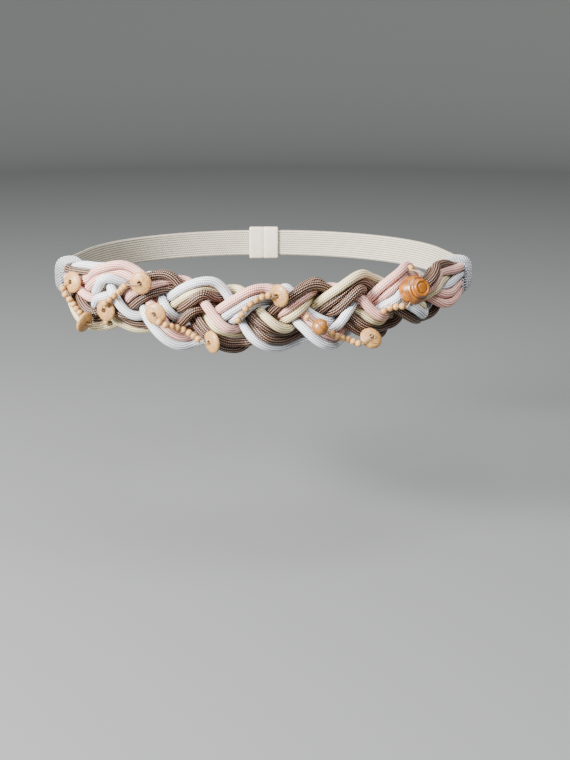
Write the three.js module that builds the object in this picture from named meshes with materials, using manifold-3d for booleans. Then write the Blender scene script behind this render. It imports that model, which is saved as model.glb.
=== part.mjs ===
// Rope belt: twelve satin cords plaited in three strands, with strings of wooden beads laid in.
// It keeps the form in which it is worn, as a level loop round the waist, with its front at -Y and +Z up.
// The origin is the middle of the waist opening, at half the belt's height. All sizes are millimetres.
// A place on the belt is given by s, the way along the loop from the front centre towards +X,
// out, the distance outward from the middle of the plait, and up, the height over its middle line.
import * as THREE from 'three';
import { mergeVertices } from 'three/addons/utils/BufferGeometryUtils.js';
import Module from 'manifold-3d';

const wasm = await Module();
wasm.setup();

// The loop that the belt lies on, measured to the middle of the plait
const loopHalfWidth = 155.5;
const loopHalfDepth = 116;
const frontDip = 8.7;
const frontDipReach = 110;
const bodyDepth = 10.5;

// Clearance between two pieces that touch
const clearance = 0.3;

// The cords and the plait
const cordDiameter = 5.4;
const cordSides = 6;
const plaitPitch = 107;
const stationsPerPitch = 13;
const stationsEachSide = 23;
const strandRise = 10.5;
const strandDepth = 6.5;
const cordSpacing = 5.7;
const underDepth = 4;
const passDepth = 2.2;

// How the plait is drawn tight. It starts this many times as loose and is tight after a share of the
// rounds. In each round a share of what is missing is made up: towards the guides, towards an even run
// of a cord, and towards the cords of a strand lying side by side.
const startLooseness = 2.2;
const settlingRounds = 300;
const tighteningShare = 0.7;
const guidePull = 0.1;
const cordStiffness = 0.25;
const strandCohesion = 0.4;
const greatestTilt = 0.9;
const partingRounds = 400;
const partingTolerance = 1e-4;

// A stretch that shows starts this share of a half pitch before its top or bottom, and lasts that share
const stretchLead = 0.61;
const stretchShare = 0.72;

const finishes = {
  pink: { color: 0xe9bdb4, roughness: 0.55 },
  white: { color: 0xe9ebf0, roughness: 0.55 },
  brown: { color: 0x6e5046, roughness: 0.55 },
  cream: { color: 0xe8e0bf, roughness: 0.55 },
  birch: { color: 0xd6ab7c, roughness: 0.5 },
  amber: { color: 0xb9752c, roughness: 0.45 },
  turned: { color: 0xa85a17, roughness: 0.35 },
  binding: { color: 0xf1f1ef, roughness: 0.7 },
  band: { color: 0xeeeae2, roughness: 0.8 },
  clasp: { color: 0xe4dccb, roughness: 0.4 },
};

// The three strands: the place of a top of the wave near the front, and the number of turns, tops and
// bottoms, that show to the left of it
const strands = {
  A: { top: -3, turnsBefore: 3 },
  B: { top: 32.7, turnsBefore: 4 },
  C: { top: -38.6, turnsBefore: 2 },
};

// How the cords lie in their strands. "across" is the place across the strand, in cord spacings to the
// left of its run, in each of the seven stretches that show, from the left end to the right.
// "under" marks the stretches in which the cord is covered by the others.
const cordTable = [
  { name: 'pink_cord_1', strand: 'A', across: [0, 1, 1, 1, 1, 1, 0], under: [0, 0, 0, 0, 0, 0, 0] },
  { name: 'pink_cord_2', strand: 'A', across: [-1, 0, 0, 0.5, 0.5, 0, -1], under: [0, 0, 0, 1, 1, 0, 0] },
  { name: 'white_cord_1', strand: 'A', across: [1, -1, 2, 0, 2, -1, 1], under: [0, 0, 0, 0, 0, 0, 0] },
  { name: 'white_cord_2', strand: 'A', across: [0, -2, -1, -1, -1, -1.5, 0], under: [1, 0, 0, 0, 0, 1, 1] },
  { name: 'brown_cord_1', strand: 'B', across: [1, 1, 1, 0, 1, 0, 1], under: [0, 0, 0, 0, 0, 0, 0] },
  { name: 'brown_cord_2', strand: 'B', across: [-1, 0, -1, -1, 0.5, -1, 0.5], under: [0, 0, 0, 0, 1, 0, 1] },
  { name: 'pink_cord_3', strand: 'B', across: [0, 2, 0, 2, 0, 2, 0], under: [0, 0, 0, 0, 0, 0, 0] },
  { name: 'cream_cord_1', strand: 'B', across: [0, -1, -0.5, 1, -1, 1, -1], under: [1, 0, 1, 0, 0, 0, 0] },
  { name: 'brown_cord_3', strand: 'C', across: [0, 1, -1, 1, 0, -0.5, -1], under: [0, 0, 0, 0, 0, 1, 0] },
  { name: 'brown_cord_4', strand: 'C', across: [0, 0, -2, 0, -1, 0.5, 0], under: [1, 0, 0, 0, 0, 1, 0] },
  { name: 'white_cord_3', strand: 'C', across: [1, 2, 1, -1, -2, 0, 0], under: [0, 0, 0, 0, 0, 0, 1] },
  { name: 'cream_cord_2', strand: 'C', across: [-1, -1, 0, 2, 1, 1, 1], under: [0, 0, 0, 0, 0, 0, 0] },
];

// The bound ends: the cords lie in rows and columns inside a winding of white cord, and leave the plait
// a few stations before it
const gridRows = 4;
const gridColumns = 3;
const boundStations = 3;
const gatheringStations = 3;
const endRise = 4;
const bindingWall = 2;
const bindingCover = 15.6;
const bindingBackWall = 7;
const bindingRidges = 5;
const ridgeHeight = 0.6;

// The plain woven band round the back, and its clasp
const bandHeight = 22;
const bandThickness = 2.2;
const bandSettle = 30;
const bandStep = 18;
const claspWidth = 26;
const claspHeight = 28;
const claspThickness = 6.4;
const bandInClasp = 8;

// The wooden beads
const threadDiameter = 1.2;
const threadRise = 2;
const smallDiameter = 5;
const smallPitch = 4.9;
const saucerDiameter = 16.2;
const saucerThickness = 5.8;
const ballDiameter = 12;
const turnedLength = 21;
const turnedDiameter = 21;
const boreDiameter = 2.8;
const beadSides = 10;
const saucerSides = 12;

// The bead strings, each a list of what is on its thread from left to right. A saucer has its place and the
// way its hole points: "along", "out" and "up" are shares of the directions of the belt there. A run of
// small beads has a route of a few chosen points, each with its place along and up the belt.
const beadStrings = [
  {
    name: 'bead_string_1',
    items: [
      { kind: 'saucer', name: 'saucer_bead_1', at: [-153, 6.5], hole: [0.3, 0.93, 0.2] },
      { kind: 'run', count: 6, route: [[-155.5, 2], [-152, -5], [-147, -11], [-139, -15.5]] },
      { kind: 'saucer', name: 'saucer_bead_2', at: [-131, -18.5], hole: [0.93, -0.2, -0.3], strung: true },
      { kind: 'run', count: 1, route: [[-122.5, -19.5], [-121.5, -19.5]] },
    ],
  },
  {
    name: 'bead_string_2',
    items: [
      { kind: 'saucer', name: 'saucer_bead_3', at: [-111.5, -6.5], hole: [0, 1, 0.05] },
      { kind: 'run', count: 6, route: [[-108.5, 0], [-100.5, 7.5], [-92, 15.5], [-86.5, 19.5]] },
      { kind: 'saucer', name: 'saucer_bead_4', at: [-82.5, 18.5], hole: [-0.15, -1, 0] },
    ],
  },
  {
    name: 'bead_string_3',
    items: [
      { kind: 'saucer', name: 'saucer_bead_5', at: [-71.5, -1.5], hole: [0, 1, 0] },
      { kind: 'run', count: 8, route: [[-67.3, -5.5], [-59, -9.5], [-50, -13.3], [-39.5, -16]] },
      { kind: 'saucer', name: 'saucer_bead_6', at: [-34.5, -16], hole: [0.65, -0.75, 0.05] },
    ],
  },
  {
    name: 'bead_string_4',
    items: [
      { kind: 'run', count: 7, route: [[-17, 2.5], [-11, 12], [-3, 18.7], [6, 22]] },
      { kind: 'saucer', name: 'saucer_bead_7', at: [10, 20], hole: [0.7, -0.7, 0.05] },
    ],
  },
  {
    name: 'bead_string_5',
    items: [
      { kind: 'run', count: 1, route: [[28.5, 2], [29, 1.6]] },
      { kind: 'ball', name: 'ball_bead', at: [36, -4.6], hole: [0.8, 0, -0.6], strung: true },
      { kind: 'run', count: 6, route: [[44.5, -11.5], [51, -16.2], [58, -19.5], [64.5, -22]] },
      { kind: 'saucer', name: 'saucer_bead_8', at: [71, -20], hole: [-0.03, -0.74, -0.67] },
    ],
  },
  {
    name: 'bead_string_6',
    items: [
      { kind: 'run', count: 4, route: [[79.5, -1.5], [86.5, 1.8], [92, 3.6], [94, 4]] },
      { kind: 'turned', name: 'turned_bead', at: [97.5, 12.2], hole: [0.59, -0.32, 0.74], strung: true },
      { kind: 'run', count: 1, route: [[106, 23.5], [106.4, 23.7]] },
    ],
  },
];

// The way the flat end of the turned bead looks
const turnedFace = [0.06, 0.93, 0.36];

// Shapes that the pieces share

const up = new THREE.Vector3(0, 0, 1);

// The loop as a list of its angle and length at small steps
const loopSteps = 1440;
const loopTable = [];
for (let step = 0, arc = 0; step <= loopSteps / 2; step += 1) {
  const angle = (step / loopSteps) * 2 * Math.PI;
  const previous = loopTable[step - 1];
  const x = loopHalfWidth * Math.sin(angle);
  const y = -loopHalfDepth * Math.cos(angle);
  if (previous) {
    arc += Math.hypot(x - previous.x, y - previous.y);
  }
  loopTable.push({ angle, arc, x, y });
}
const halfLoop = loopTable[loopSteps / 2].arc;

// The middle, the outward direction and the forward direction of the loop at s
function loopAt(place) {
  const s = place - 2 * halfLoop * Math.round(place / (2 * halfLoop));
  const arc = Math.abs(s);
  let low = 0;
  let high = loopTable.length - 1;
  while (high - low > 1) {
    const middle = (low + high) >> 1;
    if (loopTable[middle].arc > arc) {
      high = middle;
    } else {
      low = middle;
    }
  }
  const share = (arc - loopTable[low].arc) / (loopTable[high].arc - loopTable[low].arc);
  const turn = THREE.MathUtils.lerp(loopTable[low].angle, loopTable[high].angle, share);
  const angle = Math.sign(s || 1) * turn;
  const forward = new THREE.Vector3(
    loopHalfWidth * Math.cos(angle),
    loopHalfDepth * Math.sin(angle),
    0,
  ).normalize();
  const outward = new THREE.Vector3(forward.y, -forward.x, 0);
  const dip = (-frontDip * (1 + Math.cos(Math.PI * Math.min(arc / frontDipReach, 1)))) / 2;
  const middle = new THREE.Vector3(loopHalfWidth * Math.sin(angle), -loopHalfDepth * Math.cos(angle), dip);
  return { middle, outward, forward };
}

// A closed skin over rings of points that run anticlockwise round the way from ring to ring
function loft(rings) {
  const count = rings[0].length;
  const positions = rings.flat().flatMap((point) => [point.x, point.y, point.z]);
  const index = [];
  for (let ring = 0; ring < rings.length - 1; ring += 1) {
    for (let side = 0; side < count; side += 1) {
      const a = ring * count + side;
      const b = ring * count + ((side + 1) % count);
      index.push(a, b, b + count, a, b + count, a + count);
    }
  }
  const last = (rings.length - 1) * count;
  for (let side = 1; side < count - 1; side += 1) {
    index.push(0, side + 1, side);
    index.push(last, last + side, last + side + 1);
  }
  const geometry = new THREE.BufferGeometry();
  geometry.setAttribute('position', new THREE.Float32BufferAttribute(positions, 3));
  geometry.setIndex(index);
  return geometry;
}

// A round tube through points, with a radius and a direction that keeps its section level at each point
function tube(points, outwards, radii, sides) {
  const rings = points.map((point, i) => {
    const before = points[Math.max(i - 1, 0)];
    const after = points[Math.min(i + 1, points.length - 1)];
    const run = new THREE.Vector3().subVectors(after, before).normalize();
    const side = new THREE.Vector3().crossVectors(run, outwards[i]).normalize();
    const face = new THREE.Vector3().crossVectors(side, run);
    const ring = [];
    for (let k = 0; k < sides; k += 1) {
      const turn = ((k + 0.5) / sides) * 2 * Math.PI;
      ring.push(point.clone()
        .addScaledVector(face, radii[i] * Math.cos(turn))
        .addScaledVector(side, radii[i] * Math.sin(turn)));
    }
    return ring;
  });
  return loft(rings);
}

// The plait

const stationStep = plaitPitch / stationsPerPitch;
const stations = [];
for (let i = -stationsEachSide; i <= stationsEachSide; i += 1) {
  stations.push({ s: i * stationStep, ...loopAt(i * stationStep) });
}

function smooth(share) {
  const t = THREE.MathUtils.clamp(share, 0, 1);
  return t * t * (3 - 2 * t);
}

// The path that a cord would take if it met no other: the wave of its strand, and its place across it.
// The visible stretches lie half a pitch apart, and a cord changes place between them, behind the rest.
function guideAt(cord, s, looseness) {
  const strand = strands[cord.strand];
  const wave = (2 * Math.PI * (s - strand.top)) / plaitPitch + Math.PI / 2;
  const rise = looseness * strandRise;
  const slope = (rise * Math.cos(wave) * 2 * Math.PI) / plaitPitch;
  const turns = (s - strand.top) / (plaitPitch / 2) + strand.turnsBefore + stretchLead;
  const index = THREE.MathUtils.clamp(Math.floor(turns), 0, cord.across.length - 1);
  const next = Math.min(index + 1, cord.across.length - 1);
  const share = smooth((turns - index - stretchShare) / (1 - stretchShare));
  const across = THREE.MathUtils.lerp(cord.across[index], cord.across[next], share);
  const under = THREE.MathUtils.lerp(cord.under[index], cord.under[next], share);
  const pass = Math.sign(cord.across[next] - cord.across[index]) * 4 * share * (1 - share);
  return {
    up: rise * Math.sin(wave) + across * cordSpacing * Math.hypot(1, slope),
    out: looseness ** 2 * (strandDepth * Math.sin(2 * wave) - under * underDepth - pass * passDepth),
  };
}

// The room that the bound cords take, and its middle, one wall of the binding off the body
const cordRoom = cordDiameter + clearance;
const pocketHalfDepth = (gridColumns * cordRoom + clearance) / 2;
const pocketHalfHeight = (gridRows * cordRoom + clearance) / 2;
const gridMiddle = pocketHalfDepth + bindingWall - bodyDepth;

// Cords of a bound end lie in rows and columns, in the order in which they reach it
function endPlaces(cords, station) {
  const order = cords.map((cord, i) => ({ i, ...guideAt(cord, stations[station].s, 1) }));
  order.sort((p, q) => q.up - p.up);
  const places = [];
  for (let row = 0; row < gridRows; row += 1) {
    const members = order.slice(row * gridColumns, (row + 1) * gridColumns).sort((p, q) => p.out - q.out);
    members.forEach((member, column) => {
      places[member.i] = {
        up: endRise + ((gridRows - 1) / 2 - row) * cordRoom,
        out: gridMiddle + (column - (gridColumns - 1) / 2) * cordRoom,
      };
    });
  }
  return places;
}

// The nearest points of two straight stretches p0-p1 and q0-q1, as shares of their lengths
function nearestShares(p0, p1, q0, q1) {
  const dx1 = p1.x - p0.x, dy1 = p1.y - p0.y, dz1 = p1.z - p0.z;
  const dx2 = q1.x - q0.x, dy2 = q1.y - q0.y, dz2 = q1.z - q0.z;
  const rx = p0.x - q0.x, ry = p0.y - q0.y, rz = p0.z - q0.z;
  const a = dx1 * dx1 + dy1 * dy1 + dz1 * dz1;
  const e = dx2 * dx2 + dy2 * dy2 + dz2 * dz2;
  const f = dx2 * rx + dy2 * ry + dz2 * rz;
  const c = dx1 * rx + dy1 * ry + dz1 * rz;
  const b = dx1 * dx2 + dy1 * dy2 + dz1 * dz2;
  const denominator = a * e - b * b;
  let t = denominator > 1e-9 ? THREE.MathUtils.clamp((b * f - c * e) / denominator, 0, 1) : 0.5;
  let u = (b * t + f) / e;
  if (u < 0) {
    u = 0;
    t = THREE.MathUtils.clamp(-c / a, 0, 1);
  } else if (u > 1) {
    u = 1;
    t = THREE.MathUtils.clamp((b - c) / a, 0, 1);
  }
  return [t, u];
}

// Draws the cords of a strand towards lying side by side as their guides do, moved and tilted as one,
// and the whole strand towards the middle of its guides
function layTogether(points, guides, pull) {
  const middleOf = (list) => ({
    up: list.reduce((sum, { up: value }) => sum + value, 0) / list.length,
    out: list.reduce((sum, { out }) => sum + out, 0) / list.length,
  });
  const middle = middleOf(points);
  const guideMiddle = middleOf(guides);
  const shape = guides.map(({ up: u, out }) => ({ up: u - guideMiddle.up, out: out - guideMiddle.out }));
  let along = 0;
  let across = 0;
  points.forEach((point, i) => {
    along += shape[i].up * (point.up - middle.up) + shape[i].out * (point.out - middle.out);
    across += shape[i].up * (point.out - middle.out) - shape[i].out * (point.up - middle.up);
  });
  const tilt = THREE.MathUtils.clamp(Math.atan2(across, along), -greatestTilt, greatestTilt);
  const towards = {
    up: middle.up + pull * (guideMiddle.up - middle.up),
    out: middle.out + pull * (guideMiddle.out - middle.out),
  };
  points.forEach((point, i) => {
    const goalUp = towards.up + shape[i].up * Math.cos(tilt) - shape[i].out * Math.sin(tilt);
    const goalOut = towards.out + shape[i].up * Math.sin(tilt) + shape[i].out * Math.cos(tilt);
    point.up += strandCohesion * (goalUp - point.up);
    point.out += strandCohesion * (goalOut - point.out);
  });
}

// The cords are drawn together from a loose plait until they lie against each other and the body.
// Each cord has one point in the plane of each station, free to move up and outward.
function settlePlait(cords) {
  const apart = cordRoom;
  const innermost = -bodyDepth + apart / 2;
  const last = stations.length - 1;
  const gathered = boundStations + gatheringStations;
  const ends = [endPlaces(cords, gathered), endPlaces(cords, last - gathered)];
  const isBound = (k) => k < boundStations || k > last - boundStations;
  const guidesAt = (looseness) => cords.map((cord, i) => stations.map(({ s }, k) => {
    const end = ends[s < 0 ? 0 : 1][i];
    const plaited = stations[THREE.MathUtils.clamp(k, gathered, last - gathered)];
    const free = guideAt(cord, plaited.s, looseness);
    const share = smooth((Math.min(k, last - k) - boundStations + 1) / gatheringStations);
    return {
      up: THREE.MathUtils.lerp(end.up, free.up, share),
      out: THREE.MathUtils.lerp(end.out, free.out, share),
    };
  }));
  const lines = guidesAt(startLooseness);
  const place = (point, k) => {
    const { middle, outward } = stations[k];
    point.x = middle.x + outward.x * point.out;
    point.y = middle.y + outward.y * point.out;
    point.z = middle.z + point.up;
  };
  lines.forEach((line) => line.forEach(place));
  const shift = (point, k, dx, dy, dz, amount) => {
    if (isBound(k)) {
      return;
    }
    const { outward } = stations[k];
    point.out = Math.max(point.out + amount * (dx * outward.x + dy * outward.y), innermost);
    point.up += amount * dz;
    place(point, k);
  };
  const partAll = () => {
    let worst = 0;
    for (let a = 0; a < lines.length; a += 1) {
      for (let b = a + 1; b < lines.length; b += 1) {
        for (let i = 0; i < last; i += 1) {
          for (let j = Math.max(i - 1, 0); j <= Math.min(i + 1, last - 1); j += 1) {
            const [p0, p1, q0, q1] = [lines[a][i], lines[a][i + 1], lines[b][j], lines[b][j + 1]];
            const [t, u] = nearestShares(p0, p1, q0, q1);
            let dx = p0.x + (p1.x - p0.x) * t - q0.x - (q1.x - q0.x) * u;
            let dy = p0.y + (p1.y - p0.y) * t - q0.y - (q1.y - q0.y) * u;
            let dz = p0.z + (p1.z - p0.z) * t - q0.z - (q1.z - q0.z) * u;
            const distance = Math.hypot(dx, dy, dz);
            if (distance >= apart || distance < 1e-6) {
              continue;
            }
            dx /= distance;
            dy /= distance;
            dz /= distance;
            worst = Math.max(worst, apart - distance);
            const weight = (1 - t) ** 2 + t ** 2 + (1 - u) ** 2 + u ** 2;
            const amount = (apart - distance) / weight;
            shift(p0, i, dx, dy, dz, amount * (1 - t));
            shift(p1, i + 1, dx, dy, dz, amount * t);
            shift(q0, j, dx, dy, dz, -amount * (1 - u));
            shift(q1, j + 1, dx, dy, dz, -amount * u);
          }
        }
      }
    }
    return worst;
  };
  const strandMembers = Object.keys(strands).map((strand) => (
    cords.flatMap((cord, i) => (cord.strand === strand ? [i] : []))
  ));
  for (let round = 0; round < settlingRounds; round += 1) {
    const share = round / settlingRounds;
    const looseness = THREE.MathUtils.lerp(startLooseness, 1, Math.min(share / tighteningShare, 1));
    const guides = guidesAt(looseness);
    const pull = guidePull * (1 - share ** 4);
    lines.forEach((line, a) => {
      const strays = line.map((point, k) => ({
        up: point.up - guides[a][k].up,
        out: point.out - guides[a][k].out,
      }));
      for (let k = boundStations; k <= last - boundStations; k += 1) {
        for (const key of ['up', 'out']) {
          const even = (strays[k - 1][key] + strays[k + 1][key]) / 2;
          line[k][key] += cordStiffness * (even - strays[k][key]);
        }
      }
    });
    for (let k = boundStations; k <= last - boundStations; k += 1) {
      for (const strand of strandMembers) {
        layTogether(strand.map((i) => lines[i][k]), strand.map((i) => guides[i][k]), pull);
        strand.forEach((i) => place(lines[i][k], k));
      }
    }
    partAll();
    partAll();
  }
  for (let round = 0; round < partingRounds; round += 1) {
    if (partAll() < partingTolerance) {
      break;
    }
  }
  return lines.map((line) => line.map((point) => new THREE.Vector3(point.x, point.y, point.z)));
}

const cordLines = settlePlait(cordTable);

// Putting pieces on the belt

const model = new THREE.Group();

function addPiece(name, geometry, finish) {
  const mesh = new THREE.Mesh(geometry, new THREE.MeshStandardMaterial({ ...finish, metalness: 0 }));
  mesh.name = name;
  model.add(mesh);
  return mesh;
}

function pointAt(s, out, height) {
  const { middle, outward } = loopAt(s);
  return middle.clone().addScaledVector(outward, out).addScaledVector(up, height);
}

// The outward direction of the station nearest to a point
function outwardNear(point) {
  const nearest = stations.reduce((best, station) => (
    station.middle.distanceTo(point) < best.middle.distanceTo(point) ? station : best
  ));
  return nearest.outward;
}

// A direction given as shares along, out and up the belt at s
function directionAt(s, [along, out, rise]) {
  const { outward, forward } = loopAt(s);
  return new THREE.Vector3()
    .addScaledVector(forward, along)
    .addScaledVector(outward, out)
    .addScaledVector(up, rise)
    .normalize();
}

// A solid for cutting and joining, and the way back to a mesh
function toSolid(geometry) {
  const bare = geometry.clone();
  bare.deleteAttribute('normal');
  bare.deleteAttribute('uv');
  const merged = mergeVertices(bare, 1e-4);
  return new wasm.Manifold(new wasm.Mesh({
    numProp: 3,
    vertProperties: new Float32Array(merged.attributes.position.array),
    triVerts: new Uint32Array(merged.index.array),
  }));
}

function toGeometry(solid) {
  const { vertProperties, triVerts } = solid.getMesh();
  const geometry = new THREE.BufferGeometry();
  geometry.setAttribute('position', new THREE.BufferAttribute(vertProperties, 3));
  geometry.setIndex(new THREE.BufferAttribute(triVerts, 1));
  return geometry;
}

// The cords
const stationOutwards = stations.map(({ outward }) => outward);
cordTable.forEach((cord, i) => {
  const radii = stations.map(() => cordDiameter / 2);
  const geometry = tube(cordLines[i], stationOutwards, radii, cordSides);
  addPiece(cord.name, geometry, finishes[cord.name.split('_')[0]]);
});

// A box with round corners swept along the belt, through sections that each have a place s, a middle
// out and up, half a depth and half a height
function sweepBox(sections, cornerRadius, cornerPoints) {
  return loft(sections.map(({ s, out, height, halfDepth, halfHeight }) => {
    const ring = [];
    for (const [cornerUp, cornerOut] of [[1, 1], [-1, 1], [-1, -1], [1, -1]]) {
      for (let k = 0; k < cornerPoints; k += 1) {
        const share = cornerPoints > 1 ? k / (cornerPoints - 1) : 0.5;
        const turn = Math.atan2(cornerOut, cornerUp) + (share - 0.5) * (Math.PI / 2);
        const reach = cornerPoints > 1 ? cornerRadius : 0;
        ring.push(pointAt(
          s,
          out + cornerOut * (halfDepth - reach) + reach * Math.sin(turn),
          height + cornerUp * (halfHeight - reach) + reach * Math.cos(turn),
        ));
      }
    }
    return ring;
  }));
}

// The bindings. Each is a wound sleeve with a pocket for the cords and a slot for the band behind it.
const cordEnd = stationsEachSide * stationStep;
const pocketCorner = cordDiameter / 2 + clearance;
const floorAt = cordEnd + clearance;

function binding(side) {
  const mouth = cordEnd - bindingCover;
  const back = floorAt + bindingBackWall;
  const length = back - mouth;
  const rings = [];
  for (let i = 0; i <= 2 * bindingRidges; i += 1) {
    const sunk = i % 2 === 0 ? ridgeHeight : 0;
    rings.push({
      s: mouth + (length * i) / (2 * bindingRidges),
      halfDepth: pocketHalfDepth + bindingWall - sunk,
      halfHeight: pocketHalfHeight + bindingWall - sunk,
    });
  }
  const middle = { out: gridMiddle, height: endRise };
  const pocket = { halfDepth: pocketHalfDepth, halfHeight: pocketHalfHeight };
  const slot = { halfDepth: bandThickness / 2 + clearance, halfHeight: bandHeight / 2 + clearance };
  const placed = (list) => {
    const sections = list.map((section) => ({ ...middle, ...section, s: side * section.s }));
    return side > 0 ? sections : sections.reverse();
  };
  const middleOfPocket = (mouth + floorAt) / 2;
  const pocketSections = [mouth - 1, middleOfPocket, floorAt].map((s) => ({ s, ...pocket }));
  const slotSections = [floorAt - 1, back + 1].map((s) => ({ s, ...slot }));
  const outside = toSolid(sweepBox(placed(rings), pocketCorner + bindingWall, 3));
  const inside = toSolid(sweepBox(placed(pocketSections), pocketCorner, 3));
  const bandSlot = toSolid(sweepBox(placed(slotSections), 0, 1));
  return toGeometry(outside.subtract(inside).subtract(bandSlot));
}

// The bands run from the floor of the pocket to the clasp, and lie against the body after a short way
const claspStart = halfLoop - claspWidth / 2;
const claspMiddle = claspThickness / 2 - bodyDepth;

function band(side) {
  const outside = floorAt + bindingBackWall + clearance;
  const end = claspStart + bandInClasp;
  const steps = Math.round((end - outside) / bandStep);
  const places = [floorAt];
  for (let i = 0; i <= steps; i += 1) {
    places.push(THREE.MathUtils.lerp(outside, end, i / steps));
  }
  const sections = places.map((s) => ({
    s: side * s,
    out: THREE.MathUtils.lerp(gridMiddle, claspMiddle, smooth((s - outside) / bandSettle)),
    height: endRise,
    halfDepth: bandThickness / 2,
    halfHeight: bandHeight / 2,
  }));
  return sweepBox(side > 0 ? sections : sections.reverse(), 0, 1);
}

function clasp() {
  const place = { out: claspMiddle, height: endRise };
  const across = (from, to, halfDepth, halfHeight, corner, points, count) => {
    const sections = [];
    for (let i = 0; i <= count; i += 1) {
      sections.push({ ...place, s: THREE.MathUtils.lerp(from, to, i / count), halfDepth, halfHeight });
    }
    return toSolid(sweepBox(sections, corner, points));
  };
  const body = across(claspStart, claspStart + claspWidth, claspThickness / 2, claspHeight / 2, 2, 3, 2);
  const halfDepth = bandThickness / 2 + clearance;
  const halfHeight = bandHeight / 2 + clearance;
  const depth = bandInClasp + clearance;
  const left = across(claspStart - 1, claspStart + depth, halfDepth, halfHeight, 0, 1, 1);
  const rightEnd = claspStart + claspWidth;
  const right = across(rightEnd - depth, rightEnd + 1, halfDepth, halfHeight, 0, 1, 1);
  return toGeometry(body.subtract(left).subtract(right));
}

addPiece('end_binding_left', binding(-1), finishes.binding);
addPiece('end_binding_right', binding(1), finishes.binding);
addPiece('back_band_left', band(-1), finishes.band);
addPiece('back_band_right', band(1), finishes.band);
addPiece('back_clasp', clasp(), finishes.clasp);

// The beads rest on the cords, and on what is already there. Each thing in the way is a round bar
// from a to b; a piece is a few balls about its middle.
const bars = cordLines.flatMap((line) => (
  line.slice(1).map((b, i) => ({ a: line[i], b, radius: cordDiameter / 2 }))
));

const lineBetween = new THREE.Line3();
const nearestPoint = new THREE.Vector3();

function isClear(centre, balls, nearby) {
  return balls.every((ball) => {
    const point = centre.clone().add(ball.offset);
    return nearby.every(({ a, b, radius }) => {
      lineBetween.set(a, b).closestPointToPoint(point, true, nearestPoint);
      return nearestPoint.distanceTo(point) >= radius + ball.radius + clearance;
    });
  });
}

// How far out a bead starts, and the steps in which it moves in until it touches
const highestRest = 34;
const restStep = 0.2;

function restOut(s, height, balls) {
  const reach = pointAt(s, 0, height);
  const nearby = bars.filter(({ a }) => a.distanceTo(reach) < 2 * highestRest);
  let out = highestRest;
  while (out > -bodyDepth && isClear(pointAt(s, out - restStep, height), balls, nearby)) {
    out -= restStep;
  }
  return out;
}

// A lens about an axis, as balls: one in the middle and rings of smaller ones towards the rim
const lensRings = [0.35, 0.6, 0.82];
const ballsInRing = 12;

function lensBalls(axis, radius, halfThickness) {
  const balls = [{ offset: new THREE.Vector3(), radius: halfThickness }];
  const level = Math.abs(axis.z) < 0.9 ? up : stationOutwards[0];
  const side = new THREE.Vector3().crossVectors(axis, level).normalize();
  const other = new THREE.Vector3().crossVectors(axis, side);
  for (const share of lensRings) {
    const ballRadius = halfThickness * Math.sqrt(1 - share ** 2);
    const ringRadius = Math.min(share * radius, radius - ballRadius);
    for (let k = 0; k < ballsInRing; k += 1) {
      const turn = (k / ballsInRing) * 2 * Math.PI;
      balls.push({
        offset: side.clone().multiplyScalar(ringRadius * Math.cos(turn))
          .addScaledVector(other, ringRadius * Math.sin(turn)),
        radius: ballRadius,
      });
    }
  }
  return balls;
}

// The turned bead's half profile, from its round end to its flat face: shares of its radius and length
const turnedProfile = [
  { radius: 0, length: -0.5 }, { radius: 0.5, length: -0.47 }, { radius: 0.86, length: -0.3 },
  { radius: 1, length: -0.06 }, { radius: 0.95, length: 0.14 }, { radius: 0.82, length: 0.28 },
  { radius: 0.62, length: 0.36 }, { radius: 0.6, length: 0.47 }, { radius: 0.52, length: 0.5 },
  { radius: 0.4, length: 0.5 }, { radius: 0.36, length: 0.47 }, { radius: 0, length: 0.47 },
];

// The turn from Y, the way in which a bead is made, to where its hole or its flat end looks
function turnFromY(direction) {
  return new THREE.Quaternion().setFromUnitVectors(new THREE.Vector3(0, 1, 0), direction);
}

// Each big bead in its own frame, with the hole along Y
function saucerGeometry() {
  const profile = [];
  const bore = boreDiameter / 2;
  const points = 5;
  const openAngle = Math.asin(bore / (saucerDiameter / 2));
  for (let i = 0; i <= points; i += 1) {
    const turn = THREE.MathUtils.lerp(-Math.PI / 2 + openAngle, Math.PI / 2 - openAngle, i / points);
    profile.push(new THREE.Vector2(
      (saucerDiameter / 2) * Math.cos(turn),
      (saucerThickness / 2) * Math.sin(turn),
    ));
  }
  profile.push(profile[0].clone());
  return new THREE.LatheGeometry(profile, saucerSides);
}

function ballGeometry() {
  const ball = new THREE.SphereGeometry(ballDiameter / 2, saucerSides, 6);
  const bore = new THREE.CylinderGeometry(boreDiameter / 2, boreDiameter / 2, ballDiameter + 2, 8);
  return toGeometry(toSolid(ball).subtract(toSolid(bore)));
}

function turnedGeometry(axis, hole) {
  const profile = turnedProfile.map(({ radius, length }) => (
    new THREE.Vector2((radius * turnedDiameter) / 2, length * turnedLength)
  ));
  const body = new THREE.LatheGeometry(profile, saucerSides);
  body.applyQuaternion(turnFromY(axis));
  const bore = new THREE.CylinderGeometry(boreDiameter / 2, boreDiameter / 2, 2 * turnedLength, 8);
  bore.applyQuaternion(turnFromY(hole));
  return toGeometry(toSolid(body).subtract(toSolid(bore)));
}

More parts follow.
